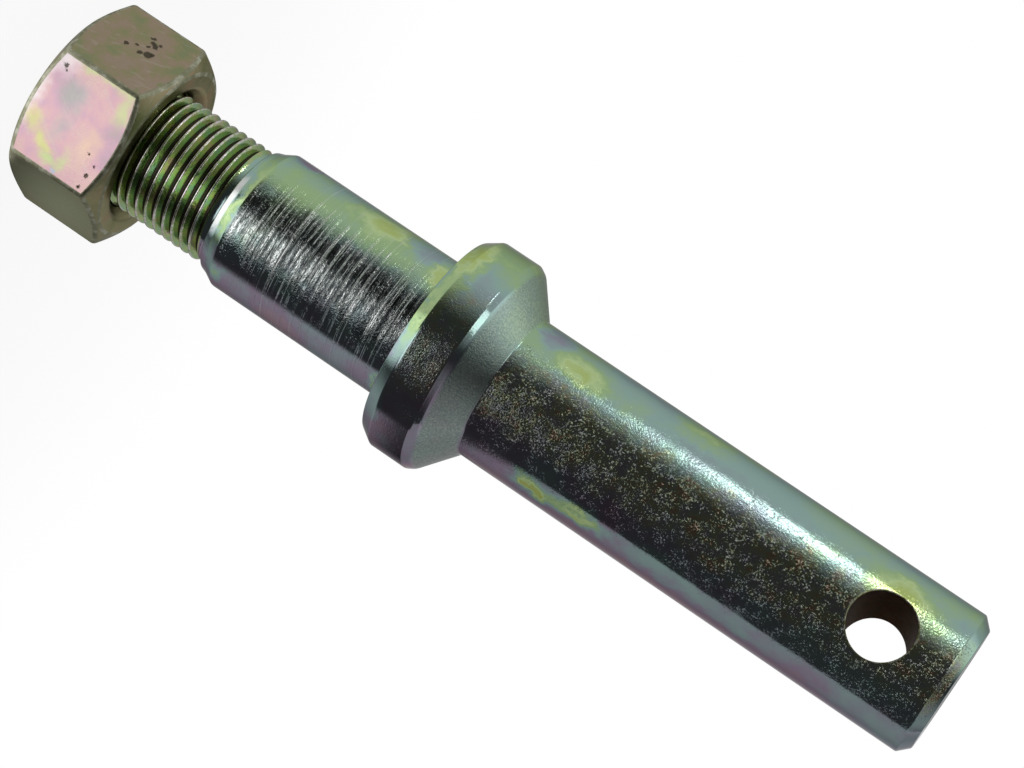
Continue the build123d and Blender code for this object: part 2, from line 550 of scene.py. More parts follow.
def chamfer_cones(sizes):
    """A double cone that takes the corners off both ends of the nut."""
    face = sizes.across_flats / 2 - sizes.face_margin
    reach = sizes.across_flats / 2 / cos(HEX_TURN / 2) + OVERRUN
    drop = (reach - face) * tan(sizes.chamfer_angle)
    return turned("nut_chamfer", [
        (0, 0),
        (face, 0),
        (reach, drop),
        (reach, sizes.height - drop),
        (face, sizes.height),
        (0, sizes.height)], CHAMFER_FACETS)


def nut_bore(sizes):
    """The bore for the stud, countersunk at both faces."""
    mouth = sizes.bore_radius + sizes.countersink + BORE_OVERRUN
    return turned("nut_bore", [
        (0, -BORE_OVERRUN),
        (mouth, -BORE_OVERRUN),
        (sizes.bore_radius, sizes.countersink),
        (sizes.bore_radius, sizes.height - sizes.countersink),
        (mouth, sizes.height + BORE_OVERRUN),
        (0, sizes.height + BORE_OVERRUN)], BORE_FACETS)


def nut_finish(sizes):
    """A function that says which of the nut's four materials a face has."""
    sides, front, chamfers, edges = range(4)
    towards_front = Vector((cos(sizes.turn), sin(sizes.turn), 0))
    flats = [Matrix.Rotation(k * HEX_TURN, 3, "Z") @ towards_front for k in range(6)]
    mouth = sizes.bore_radius + sizes.countersink + MM
    chamfer_rise = cos(sizes.chamfer_angle)

    def choose(face):
        rise = abs(face.normal.z)
        if face.center.xy.length < mouth or abs(rise - chamfer_rise) < CHAMFER_SPREAD or rise > LEVEL:
            return chamfers
        if max(face.normal.dot(flat) for flat in flats) < ON_FLAT:
            return edges
        return front if face.normal.dot(towards_front) > AT_FRONT else sides

    return choose


class HITCHPIN_OT_make_nut(bpy.types.Operator):
    """Makes the hexagon nut"""

    bl_idname = "hitchpin.make_nut"
    bl_label = "Make the nut"
    bl_options = {"REGISTER", "UNDO"}

    def execute(self, context):
        sizes = context.scene.hex_nut_sizes
        colours = context.scene.hitch_pin_colours
        nut = hexagon_blank(sizes)
        cut(nut, chamfer_cones(sizes), "INTERSECT")
        cut(nut, nut_bore(sizes), "DIFFERENCE")
        heal(nut)
        apply_modifier(
            nut, "BEVEL", limit_method="ANGLE", angle_limit=EASED_FROM, width=sizes.edge_radius,
            segments=EDGE_STEPS, use_clamp_overlap=False)
        smooth(nut, NUT_SMOOTH)
        side_marks = (side_dabs(sizes, colours), top_pits(sizes))
        front_marks = (front_dabs(sizes, colours), front_pits(sizes))
        coat(nut, [
            nut_plating("nut_sides", colours, OLIVE_BROWN, side_marks),
            nut_plating("nut_front", colours, ROSE_PINK, front_marks, scale=0.13),
            nut_plating("nut_chamfers", colours, OLIVE),
            nut_plating("nut_edges", colours, EDGE_WEAR_AND_HIGHLIGHT, scale=0.5, gloss=(0.40, 0.60))], nut_finish(sizes))
        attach(nut, "nut")
        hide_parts(NUT_NODE)
        return {"FINISHED"}


# Shader helpers


def feed(socket, value):
    """Links an input to another node's output, or sets its own value. Colours are given without alpha."""
    if isinstance(value, bpy.types.NodeSocket):
        socket.id_data.links.new(value, socket)
    elif socket.type == "RGBA":
        socket.default_value = (*value, 1.0)
    else:
        socket.default_value = value


def node(tree, kind, inputs=None, **settings):
    """Adds a shader node with its settings, and sets or links its inputs."""
    made = tree.nodes.new(kind)
    for name, value in settings.items():
        setattr(made, name, value)
    for name, value in (inputs or {}).items():
        feed(made.inputs[name], value)
    return made


def maths(tree, operation, first, second=0.0, third=0.0):
    """One Math node, with numbers or sockets as its inputs."""
    return node(tree, "ShaderNodeMath", {0: first, 1: second, 2: third}, operation=operation).outputs[0]


def product(tree, first, *others):
    """Numbers or sockets multiplied together."""
    for other in others:
        first = maths(tree, "MULTIPLY", first, other)
    return first


def larger(tree, first, second):
    """The larger of two values."""
    return maths(tree, "MAXIMUM", first, second)


def at_least(tree, share, lowest):
    """A share from 0 to 1, squeezed so that it starts at the lowest value."""
    return maths(tree, "MULTIPLY_ADD", share, 1.0 - lowest, lowest)


def without(tree, share, strength):
    """1 where a share is 0, and less by the strength where it is 1."""
    return maths(tree, "MULTIPLY_ADD", share, -strength, 1.0)


def swayed(tree, value, cloud, reach):
    """A value moved up and down by a cloud of noise."""
    return maths(tree, "MULTIPLY_ADD", maths(tree, "SUBTRACT", cloud, 0.5), reach, value)


def vectors(tree, operation, first, second):
    """One Vector Math node between two vectors."""
    return node(tree, "ShaderNodeVectorMath", {0: first, 1: second}, operation=operation).outputs


def length_of(tree, vector):
    """The length of a vector."""
    return node(tree, "ShaderNodeVectorMath", {0: vector}, operation="LENGTH").outputs["Value"]


def direction_of(tree, vector):
    """A vector's direction, with length 1."""
    return node(tree, "ShaderNodeVectorMath", {0: vector}, operation="NORMALIZE").outputs[0]


def towards(tree, way, angle):
    """How much a direction points to an angle round the axis: 1 straight at it, -1 away from it."""
    return vectors(tree, "DOT_PRODUCT", way, (cos(angle), sin(angle), 0))["Value"]


def fade(tree, value, start, end, low=0.0, high=1.0):
    """A smooth change from low to high while the value goes from start to end."""
    inputs = {"Value": value, "From Min": start, "From Max": end, "To Min": low, "To Max": high}
    return node(tree, "ShaderNodeMapRange", inputs, interpolation_type="SMOOTHSTEP").outputs[0]


def zone(tree, height, ends, full=1.0):
    """A band across the part: full inside it, 0 outside, fading over its two ends."""
    fade_in, fade_out = ends
    return product(tree, fade(tree, height, *fade_in), fade(tree, height, *fade_out, full, 0.0))


def blend(tree, share, first, second):
    """A number between first and second."""
    return node(tree, "ShaderNodeMix", {0: share, 2: first, 3: second}).outputs[0]


def tinted(tree, share, first, second):
    """A colour between first and second."""
    return node(tree, "ShaderNodeMix", {0: share, 6: first, 7: second}, data_type="RGBA").outputs[2]


def colour_ramp(tree, value, stops):
    """A colour ramp through (position, colour) stops."""
    made = node(tree, "ShaderNodeValToRGB", {"Fac": value})
    ramp = made.color_ramp
    while len(ramp.elements) < len(stops):
        ramp.elements.new(0.5)
    for element, (position, colour) in zip(ramp.elements, stops):
        element.position = position
        element.color = (*colour, 1.0)
    return made.outputs["Color"]


def noise(tree, place, scale, detail=2.0, roughness=0.5, stretch=(1, 1, 1), output="Fac"):
    """Noise over a place in millimetres, with features about 1 / scale mm wide."""
    inputs = {
        "Vector": vectors(tree, "MULTIPLY", place, stretch)[0],
        "Scale": scale, "Detail": detail, "Roughness": roughness}
    return node(tree, "ShaderNodeTexNoise", inputs).outputs[output]


def bumped(tree, height, depth, normal=None):
    """A Bump node's normal, for a height between 0 and 1 and a depth in millimetres."""
    inputs = {"Strength": 1.0, "Distance": depth * MM, "Height": height}
    if normal:
        inputs["Normal"] = normal
    return node(tree, "ShaderNodeBump", inputs).outputs[0]


def dab(tree, loose, middle, size):
    """How much of a soft patch is at a place: 1 at its middle, 0 outside its size."""
    apart = vectors(tree, "SUBTRACT", loose, middle)[0]
    apart = vectors(tree, "DIVIDE", apart, size)[0]
    return fade(tree, length_of(tree, apart), 0.1, 1.5, 1.0, 0.0)


def drifted(tree, place, scale, reach):
    """A place moved about by noise, so that what is laid on it gets ragged edges."""
    drift = noise(tree, place, scale, detail=3.0, roughness=0.6, output="Color")
    drift = vectors(tree, "SUBTRACT", drift, (0.5, 0.5, 0.5))[0]
    return vectors(tree, "ADD", place, vectors(tree, "MULTIPLY", drift, (reach, reach, reach))[0])[0]


# What the metal's colour turns to where it is seen edge-on, and the same in the dull hole
EDGE_TINT = (0.45, 0.45, 0.45)
HOLE_EDGE_TINT = (0.25, 0.19, 0.14)


def new_plating(name, edge_tint=EDGE_TINT):
    """A metal material, its node tree, its shader, and its place in millimetres."""
    material = bpy.data.materials.new(name)
    material.use_nodes = True
    tree = material.node_tree
    shader = tree.nodes["Principled BSDF"]
    feed(shader.inputs["Metallic"], 1.0)
    feed(shader.inputs["Specular Tint"], edge_tint)
    where = node(tree, "ShaderNodeTexCoord").outputs["Object"]
    place = node(tree, "ShaderNodeVectorMath", {0: where, "Scale": 1 / MM}, operation="SCALE").outputs[0]
    return material, tree, shader, place


def dress(shader, tint, normal, roughness):
    """Gives a plating its colour, its fine relief and its roughness."""
    feed(shader.inputs["Base Color"], tint)
    feed(shader.inputs["Normal"], normal)
    feed(shader.inputs["Roughness"], roughness)


# Plating on the pin. Steps of the film's tint as the film grows thicker, and a plum between two of them
ROSE, VIOLET, BLUE, TEAL, GREEN, LIME, YELLOW, STRAW = 0.0, 0.14, 0.28, 0.42, 0.56, 0.67, 0.79, 0.93
PLUM = 0.2

# The film's tint halfway up the picture, and how much it grows in a millimetre towards the upper side
FILM_MIDDLE = 0.34
FILM_LEAN = 0.011

# Places where the film has another tint: angle round the axis from the camera's side in degrees, height,
# distance from the axis, half width and half length in mm, and the tint
FILM_DABS = (
    (-44, 109.5, 14, 3.2, 6.0, YELLOW),
    (-62, 134.0, 14, 3.0, 5.0, YELLOW),
    (-64, 101.0, 14, 3.5, 3.0, PLUM),
    (-42, 135.0, 14, 1.8, 9.0, BLUE),
    (-62, 159.0, 14, 4.0, 6.0, GREEN),
    (-38, 176.0, 14, 4.0, 6.0, YELLOW),
    (-70, 120.0, 14, 3.0, 9.0, BLUE),
    (-54, 148.0, 14, 5.0, 20.0, TEAL),
    (-56, 118.0, 14, 4.0, 8.0, TEAL),
    (52, 122.0, 14, 2.6, 6.5, YELLOW),
    (58, 112.0, 14, 2.8, 4.0, STRAW),
    (50, 142.0, 14, 2.4, 12.0, TEAL),
    (54, 103.0, 14, 3.0, 5.0, VIOLET),
    (76, 135.0, 14, 3.0, 45.0, ROSE),
    (-54, 65.5, 14, 4.5, 7.0, YELLOW),
    (-46, 79.0, 14, 4.5, 3.0, YELLOW),
    (-36, 53.0, 14, 4.0, 11.0, GREEN),
    (-34, 70.0, 14, 4.0, 9.0, GREEN),
    (-62, 74.0, 14, 3.5, 3.0, BLUE),
    (-80, 48.0, 14, 2.5, 6.0, ROSE),
    (55, 44.0, 14, 2.5, 2.0, GREEN),
    (70, 57.0, 14, 3.0, 6.0, ROSE),
    (62, 75.0, 14, 3.4, 3.5, VIOLET),
    (60, 79.5, 14, 4.0, 1.8, YELLOW),
    (-52, 83.0, 21, 13.0, 2.4, YELLOW),
    (-6, 82.0, 20.5, 9.0, 1.6, LIME),
    (30, 82.0, 20.5, 10.0, 1.6, TEAL),
    (-72, 86.0, 21, 5.0, 3.5, GREEN),
    (-5, 42.0, 13.4, 13.0, 1.3, LIME),
    (-38, 96.0, 16, 5.0, 4.0, GREEN),
)

# Zones up the pin in mm: the stretch over which each one fades in, and the one over which it fades out
LAND = ((39.3, 39.5), (40.6, 40.9))
SHOULDER = ((42.6, 43.4), (80.3, 80.9))
TURNING_LINES = ((44.5, 50), (77, 80))
COLLAR_BAND = ((83.4, 84.0), (90.4, 91.0))
COLLAR_CONE = ((91.8, 92.4), (97.0, 97.6))
PLAIN_PIN = ((97.0, 97.8), (190.2, 190.8))

# Steps outwards through the thread in mm: where the painted shade in the root ends, where it turns glossy,
# and the worn crest
ROOT_SHADE_END = (10.78, 10.9)
THREAD_GLOSS = (10.8, 11.1)
THREAD_CREST = (11.72, 11.86)

# Colours laid over a cloud of noise, as (position, colour) stops
# Painted shade: a greyer steel for the side facing the camera, where the dark room is reflected
PAINTED_FRONT_SHADE = (
    (0.36, (0.44, 0.44, 0.46)), (0.46, (0.49, 0.51, 0.45)),
    (0.54, (0.51, 0.59, 0.34)), (0.61, (0.60, 0.44, 0.28)))
# Near-black painted shade and pale arcs for the shoulder's front, where the dark room is reflected
SHOULDER_ARCS_AND_SHADE = (
    (0.42, (0.02, 0.02, 0.02)), (0.48, (0.13, 0.14, 0.14)),
    (0.53, (0.42, 0.46, 0.44)), (0.58, (0.94, 0.97, 0.95)))
CONE_STEEL = ((0.34, (0.26, 0.34, 0.30)), (0.5, (0.34, 0.44, 0.39)), (0.66, (0.50, 0.60, 0.48)))
THREAD_FLANK = (
    (0.34, (0.38, 0.54, 0.36)), (0.46, (0.41, 0.58, 0.28)),
    (0.58, (0.50, 0.58, 0.28)), (0.70, (0.60, 0.52, 0.40)))
# The hole's brown wall, darkened with painted shade inside the hole
HOLE_WALL_AND_SHADE = ((0.35, (0.03, 0.035, 0.012)), (0.55, (0.06, 0.035, 0.02)), (0.7, (0.10, 0.05, 0.03)))
HOLE_RIM = ((0.40, (0.30, 0.34, 0.12)), (0.50, (0.74, 0.78, 0.42)), (0.58, (0.95, 0.94, 0.80)))


def film_tint(tree, place, colours):
    """The film's tint: broad soft patches that lean to one side of the part, with dabs of other tints."""
    broad = noise(tree, place, scale=0.05, detail=1.0, roughness=0.4)
    fine = noise(tree, place, scale=0.18, detail=3.0, roughness=0.55)
    film = swayed(tree, swayed(tree, FILM_MIDDLE, broad, reach=0.5), fine, reach=0.4)
    lean = [FILM_LEAN * part for part in TOWARDS_UPPER_SIDE]
    film = maths(tree, "ADD", film, vectors(tree, "DOT_PRODUCT", place, lean)["Value"])
    loose = drifted(tree, place, scale=0.22, reach=8.0)
    for angle, height, radius, width, length, tint in FILM_DABS:
        turn = radians(angle + CAMERA_SIDE)
        share = dab(tree, loose, (radius * cos(turn), radius * sin(turn), height), (width, width, length))
        film = blend(tree, product(tree, share, 0.9), film, tint)
    return colour_ramp(tree, film, (
        (ROSE, colours.rose), (VIOLET, colours.violet), (BLUE, colours.blue), (TEAL, colours.teal),
        (GREEN, colours.green), (LIME, colours.lime), (YELLOW, colours.yellow), (STRAW, colours.straw)))


def shoulder_arcs_and_shade(tree, place):
    """Colours of the shoulder's front: dark and bright arcs along the turning tool's marks, broken by spots;
    the near-black is painted shade, where the dark room is reflected.
    """
    arcs = noise(tree, place, scale=1.5, detail=3.0, roughness=0.7, stretch=(0.05, 0.05, 1.0))
    spots = noise(tree, place, scale=1.6, detail=4.0, roughness=0.8, stretch=(0.5, 0.5, 1.6))
    mixed = maths(tree, "MULTIPLY_ADD", arcs, 0.6, product(tree, spots, 0.4))
    return colour_ramp(tree, mixed, SHOULDER_ARCS_AND_SHADE)


def turning_lines(tree, place, height, pale_share):
    """Fine lines round the shoulder, worn away in places, faint on the sides and strong in front, where their
    pale colour also stands for painted glints.
    """
    along = node(tree, "ShaderNodeCombineXYZ", {"Z": height}).outputs[0]
    hair = fade(tree, noise(tree, along, scale=1.1, detail=3.0, roughness=0.75), 0.52, 0.60)
    worn = noise(tree, place, scale=0.2, detail=3.0, roughness=0.7, stretch=(1, 1, 0.6))
    worn = fade(tree, worn, 0.36, 0.62, 0.1, 1.0)
    mask = product(tree, zone(tree, height, TURNING_LINES), worn, at_least(tree, pale_share, 0.2))
    return product(tree, hair, mask)


def pin_plating(name, colours):
    """Bright zinc with a tinted film, turning lines on the shoulder, and painted shade in front: mottled grey
    and near-black arcs where the dark room is reflected, flecked with painted glints.
    """
    material, tree, shader, place = new_plating(name)
    height = node(tree, "ShaderNodeSeparateXYZ", {0: place}).outputs["Z"]
    shoulder = zone(tree, height, SHOULDER)
    band = zone(tree, height, COLLAR_BAND, 0.6)
    cone = zone(tree, height, COLLAR_CONE)
    plain = maths(tree, "ADD", zone(tree, height, PLAIN_PIN), band)

    # How far a place looks to the camera's side, the front of the part, and a wider band in front where
    # flecks and turning lines show bare zinc and painted glints
    ahead = direction_of(tree, vectors(tree, "MULTIPLY", place, (1, 1, 0))[0])
    ahead = vectors(tree, "DOT_PRODUCT", ahead, TOWARDS_CAMERA)["Value"]
    ahead = swayed(tree, ahead, noise(tree, place, scale=0.25, detail=3.0), reach=0.25)
    front = fade(tree, ahead, 0.86, 0.98)
    pale_share = product(tree, fade(tree, ahead, 0.72, 0.89), maths(tree, "ADD", plain, shoulder))

    # The film, with painted shade in front: greyer and mottled, and dark-arced on the shoulder, where the
    # dark room is reflected
    mottle = noise(tree, place, scale=0.45, detail=5.0, roughness=0.68)
    speck = noise(tree, place, scale=2.7, detail=3.0, roughness=0.65)
    front_shade = colour_ramp(tree, noise(tree, place, scale=0.38, detail=5.0, roughness=0.72), PAINTED_FRONT_SHADE)
    film = film_tint(tree, place, colours)
    film = tinted(tree, product(tree, front, 0.85, plain), film, front_shade)
    film = tinted(tree, product(tree, front, 0.9, shoulder), film, shoulder_arcs_and_shade(tree, place))
    film = tinted(tree, product(tree, cone, 0.7), film, colour_ramp(tree, speck, CONE_STEEL))

    # Fine relief: raised flecks, a grain and the turning lines
    patchy = fade(tree, mottle, 0.42, 0.60, 0.1, 1.0)
    fleck = product(
        tree, fade(tree, speck, 0.54, 0.76), patchy, at_least(tree, pale_share, 0.1),
        without(tree, band, 1.2), without(tree, shoulder, 0.4))
    rough_places = at_least(tree, larger(tree, pale_share, cone), 0.1)
    grain = product(tree, noise(tree, place, scale=3.0, detail=2.0, roughness=0.6), rough_places)
    lines = turning_lines(tree, place, height, pale_share)
    normal = bumped(tree, fleck, depth=0.1)
    normal = bumped(tree, grain, depth=0.05, normal=normal)
    normal = bumped(tree, lines, depth=0.18, normal=normal)

    # Bare zinc on the flecks and the lines, where it also stands for painted glints, and as a painted
    # highlight on the front of the lead-in's land
    land = product(tree, zone(tree, height, LAND), front)
    bright = larger(tree, larger(tree, lines, product(tree, fleck, 0.6)), land)

    # Duller in the mottled front, on the cone and on the far side
    dull = product(tree, fade(tree, mottle, 0.48, 0.66), pale_share, 0.16)
    dull = larger(tree, dull, product(tree, cone, 0.17))
    dull = larger(tree, dull, fade(tree, ahead, -0.55, -0.1, 0.15, 0.0))
    dress(shader, tinted(tree, bright, film, colours.bare_zinc_and_highlights), normal, maths(tree, "ADD", dull, 0.09))
    return material


def thread_plating(name, colours):
    """Green film on the flanks, near-black painted shade down in the roots, and pale where the crests are
    worn.
    """
    material, tree, shader, place = new_plating(name)
    radius = length_of(tree, vectors(tree, "MULTIPLY", place, (1, 1, 0))[0])
    flank = colour_ramp(tree, noise(tree, place, scale=0.35, detail=3.0, roughness=0.6), THREAD_FLANK)
    # Painted shade: the root is tinted near-black
    tint = tinted(tree, fade(tree, radius, *ROOT_SHADE_END), colours.thread_root, flank)
    worn = fade(tree, noise(tree, place, scale=1.2, detail=3.0, roughness=0.7), 0.42, 0.56, 0.12, 1.0)
    pale_share = product(tree, fade(tree, radius, *THREAD_CREST), worn)
    speck = noise(tree, place, scale=1.6, detail=3.0, roughness=0.6)
    tint = tinted(tree, pale_share, tint, colours.thread_crest)
    dress(shader, tint, bumped(tree, speck, depth=0.05), fade(tree, radius, *THREAD_GLOSS, 0.4, 0.13))
    return material


def hole_plating(name):
    """The drilled wall: little zinc reaches it, so it is brown and dull, and the shade inside the hole is
    painted into its near-black colour.
    """
    material, tree, shader, place = new_plating(name, HOLE_EDGE_TINT)
    tint = colour_ramp(tree, noise(tree, place, scale=0.5, detail=3.0), HOLE_WALL_AND_SHADE)
    lines = noise(tree, place, scale=1.5, detail=3.0, roughness=0.6, stretch=(2.2, 0.3, 0.3))
    dress(shader, tint, bumped(tree, lines, depth=0.05), roughness=0.42)
    return material


def rim_plating(name):
    """The burred rim of the drilled hole, where a pale yellow film broke up."""
    material, tree, shader, place = new_plating(name)
    cloud = noise(tree, place, scale=1.1, detail=3.0, roughness=0.7)
    tint = colour_ramp(tree, cloud, HOLE_RIM)
    dress(shader, tint, bumped(tree, cloud, depth=0.08), roughness=0.35)
    return material


# Plating on the nut: colours laid over a cloud of noise, as (position, colour) stops
OLIVE_BROWN = (
    (0.36, (0.30, 0.33, 0.18)), (0.45, (0.36, 0.34, 0.19)),
    (0.53, (0.42, 0.34, 0.23)), (0.62, (0.45, 0.35, 0.27)), (0.70, (0.33, 0.35, 0.18)))
ROSE_PINK = (
    (0.34, (0.70, 0.49, 0.46)), (0.45, (0.71, 0.46, 0.49)),
    (0.55, (0.67, 0.44, 0.53)), (0.68, (0.59, 0.46, 0.50)))
# The nut's eased edges: worn, and lighter as a painted highlight against the dark reflected in them
EDGE_WEAR_AND_HIGHLIGHT = ((0.36, (0.27, 0.28, 0.17)), (0.5, (0.36, 0.36, 0.25)), (0.64, (0.62, 0.62, 0.50)))
OLIVE = ((0.35, (0.25, 0.25, 0.13)), (0.5, (0.32, 0.30, 0.17)), (0.65, (0.38, 0.30, 0.18)))

# The flats that the camera sees, counted round from the one that faces it
TOP_FLAT, FRONT_FLAT, LOWER_FLAT = -1, 0, 1

# Which way the scratches on the nut run: an axis and a turn about it
SCRATCH_AXIS = (0.9, 0.3, 0.2)
SCRATCH_TURN = 0.7


def flat_place(sizes, flat, across, height):
    """A place on one of the nut's flats, in mm: across runs round the nut from the flat's middle."""
    turn = sizes.turn + flat * HEX_TURN
    reach = sizes.across_flats / 2 / MM
    return (reach * cos(turn) - across * sin(turn), reach * sin(turn) + across * cos(turn), height)


def front_dabs(sizes, colours):
    """Tints on the flat that faces the camera: lemon streak, grey haze, green rim, and a painted highlight on
    its pale outer part.
    """
    peach, lemon, lime = colours.nut_peach, colours.nut_lemon, colours.nut_lime
    sky, haze, pale = colours.nut_sky, colours.nut_haze, colours.nut_pale_highlight
    rows = (
        (2.5, 1.5, 1.8, 3.4, 0.8, peach), (3.6, 3.2, 1.7, 2.2, 0.7, lemon),
        (5.2, 6.4, 1.5, 1.6, 0.8, lemon), (6.6, 7.6, 1.3, 1.8, 0.8, lemon),
        (8.2, 9.2, 1.1, 1.9, 0.8, lime), (7.0, 11.8, 2.2, 1.3, 0.6, lime),
        (9.1, 11.4, 0.6, 0.6, 0.9, sky), (-4.0, 8.0, 3.5, 2.6, 0.75, haze),
        (2.0, 8.3, 2.2, 1.6, 0.5, haze), (1.7, 15.0, 3.0, 2.0, 0.5, peach),
        (-10.3, 12.0, 1.3, 8.0, 0.8, lime), (-7.0, 17.3, 4.0, 1.5, 0.6, lime),
        # The pale rows are a painted highlight on the outer part of the flat
        (-3.0, 0.0, 9.0, 2.2, 0.9, pale), (-9.0, 3.0, 3.0, 3.0, 0.7, pale),
    )
    return [(flat_place(sizes, FRONT_FLAT, across, height), (wide, wide, tall), strength, colour)
            for across, height, wide, tall, strength, colour in rows]


def side_dabs(sizes, colours):
    """A greener tint on the flat that faces down in the picture."""
    return [(flat_place(sizes, LOWER_FLAT, 0, 10), (16.0, 16.0, 16.0), 0.8, colours.nut_green)]


def top_pits(sizes):
    """Black pits and a few marks where the film never took: (across, height, radius) in mm."""
    rows = (
        (0.1, 7.9, 0.6), (0.2, 10.9, 0.65), (-0.3, 12.3, 0.95), (-0.9, 12.9, 0.6), (-4.9, 10.5, 0.6),
        (-3.2, 11.9, 0.7), (-3.9, 11.2, 0.65), (-1.1, 9.4, 0.45), (-2.3, 11.0, 0.45), (-4.3, 12.4, 0.5))
    return [(flat_place(sizes, TOP_FLAT, across, height), radius) for across, height, radius in rows]


def front_pits(sizes):
    """Small dark marks on the flat that faces the camera: (across, height, radius) in mm."""
    rows = (
        (-7.9, 3.7, 0.5), (-7.2, 4.3, 0.35), (6.7, 17.0, 0.35),
        (9.2, 16.8, 0.4), (3.0, 15.5, 0.3), (4.6, 17.6, 0.3))
    return [(flat_place(sizes, FRONT_FLAT, across, height), radius) for across, height, radius in rows]


def nut_plating(name, colours, stops, marks=((), ()), scale=0.2, gloss=(0.26, 0.38)):
    """Satin film on the forged nut, with dabs of other tints, small pits and light scratches."""
    material, tree, shader, place = new_plating(name)
    dabs, pits = marks
    cloud = noise(tree, place, scale, detail=4.0, roughness=0.6)
    tint = colour_ramp(tree, cloud, stops)
    loose = drifted(tree, place, scale=0.35, reach=4.0)
    for middle, size, strength, colour in dabs:
        tint = tinted(tree, product(tree, dab(tree, loose, middle, size), strength), tint, colour)
    slanted = node(tree, "ShaderNodeVectorRotate", {
        "Vector": place, "Axis": SCRATCH_AXIS, "Angle": SCRATCH_TURN}, rotation_type="AXIS_ANGLE").outputs[0]
    scratch = noise(tree, slanted, scale=1.0, detail=1.0, roughness=0.5, stretch=(1.6, 0.35, 0.045))
    scratch = fade(tree, scratch, 0.64, 0.69)
    tint = tinted(tree, product(tree, scratch, 0.16), tint, colours.nut_scratch)
    height = noise(tree, place, scale=1.8, detail=3.0, roughness=0.6)
    close = drifted(tree, place, scale=1.2, reach=1.2)
    for middle, radius in pits:
        hollow = dab(tree, close, middle, (radius, radius, radius))
        tint = tinted(tree, fade(tree, hollow, 0.2, 0.65, 0.0, 0.9), tint, colours.nut_pit)
        height = maths(tree, "MULTIPLY_ADD", hollow, -2.5, height)
    dress(shader, tint, bumped(tree, height, depth=0.03), fade(tree, cloud, 0.3, 0.7, *gloss))
    return material


# The studio. Angles round from the camera to the brightest part of the room, to the part behind the
# object, to its left side, and to the bright pool on the floor
BRIGHT_SIDE = radians(-115)
BACK_SIDE = radians(-160)
LEFT_SIDE = radians(-90)
POOL_SIDE = radians(19)

# Stretches of the floor over which its brightness changes, in metres from the part's axis
FOOT_END = (0.04, 0.055)
POOL_RISE = (0.08, 0.14)
POOL_END = (0.18, 0.34)
SIDES_END = (0.36, 0.44)
FRONT_START = (0.02, 0.07)
SHADOW_END = (0.03, 0.2)

FLOOR_SIZE = 8


class HITCHPIN_OT_set_studio(bpy.types.Operator):
    """Sets up the floor, the lamps and the camera"""

    bl_idname = "hitchpin.set_studio"
    bl_label = "Set the studio"
    bl_options = {"REGISTER", "UNDO"}

    def execute(self, context):
        studio = context.scene.hitch_pin_studio
        context.scene.view_settings.view_transform = "Standard"
        context.scene.camera = make_camera(studio)
        make_floor(studio)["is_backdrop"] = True
        panel(studio, "right_panel", offset=133.5, distance=0.5, width=1.0, tall=1.1, height=0.12,
              level=0.66 * studio.side_level)
        panel(studio, "small_light", offset=-66, distance=0.38, width=0.085, tall=0.065, height=0.13,
              level=studio.streak_level)
        panel(studio, "high_light", offset=-47, distance=0.33, width=0.16, tall=0.16, height=0.40,
              level=studio.high_level, tip=46)
        make_world(studio)
        return {"FINISHED"}


def make_camera(studio):
    """The camera, at the place that the photograph was taken from."""
    bpy.ops.object.select_all(action="DESELECT")
    bpy.ops.object.camera_add()
    camera = bpy.context.object
    camera.name = "camera"
    camera.data.lens = studio.lens
    camera.data.sensor_width = 36.0
    camera.data.clip_start = 0.01
    camera.matrix_world = camera_place(studio)
    return camera


def camera_place(studio):
    """The camera's place: level turn, tip and roll about its own axes, measured on the photograph."""
    aim, along, across = Vector((-1, 0, 0)), Vector((0, 0, 1)), Vector((0, 1, 0))
    turn = Matrix.Rotation(studio.tip, 3, across)
    aim, along = turn @ aim, turn @ along
    turn = Matrix.Rotation(studio.swing, 3, along)
    aim, across = turn @ aim, turn @ across
    turn = Matrix.Rotation(studio.roll, 3, aim)
    along, across = turn @ along, turn @ across
    right = along * cos(studio.lie) - across * sin(studio.lie)
    down = along * sin(studio.lie) + across * cos(studio.lie)
    spin = Matrix.Rotation(studio.azimuth, 3, "Z")
    place = spin @ Vector((studio.distance, 0, studio.camera_height))
    axes = Matrix((spin @ right, spin @ -down, spin @ -aim)).transposed()
    return Matrix.Translation(place) @ axes.to_4x4()


def panel(studio, name, offset, distance, width, tall, height, level, tip=90):
    """A soft panel that faces the part, offset round from the camera in degrees. Tipped by 90 degrees it
    stands upright, and by less it looks down."""
    angle = studio.azimuth + radians(offset)
    place = (distance * cos(angle), distance * sin(angle), height)
    bpy.ops.object.light_add(type="AREA", location=place)
    lamp = bpy.context.object
    lamp.name = name
    lamp.data.shape = "RECTANGLE"
    lamp.data.size = width
    lamp.data.size_y = tall
    lamp.data.energy = level * pi * width * tall
    lamp.visible_camera = False
    lamp.rotation_euler = (radians(tip), 0, angle + pi / 2)


def room_glow(tree, studio, way):
    """Brightness of the room in a direction: dark in front, bright to the left and behind."""
    left = towards(tree, way, studio.azimuth + BRIGHT_SIDE)
    behind = towards(tree, way, studio.azimuth + BACK_SIDE)
    return larger(
        tree, fade(tree, left, 0.05, 0.8, studio.dark_level, 1.14 * studio.side_level),
        fade(tree, behind, 0.4, 0.9, 0.0, 0.95 * studio.side_level))


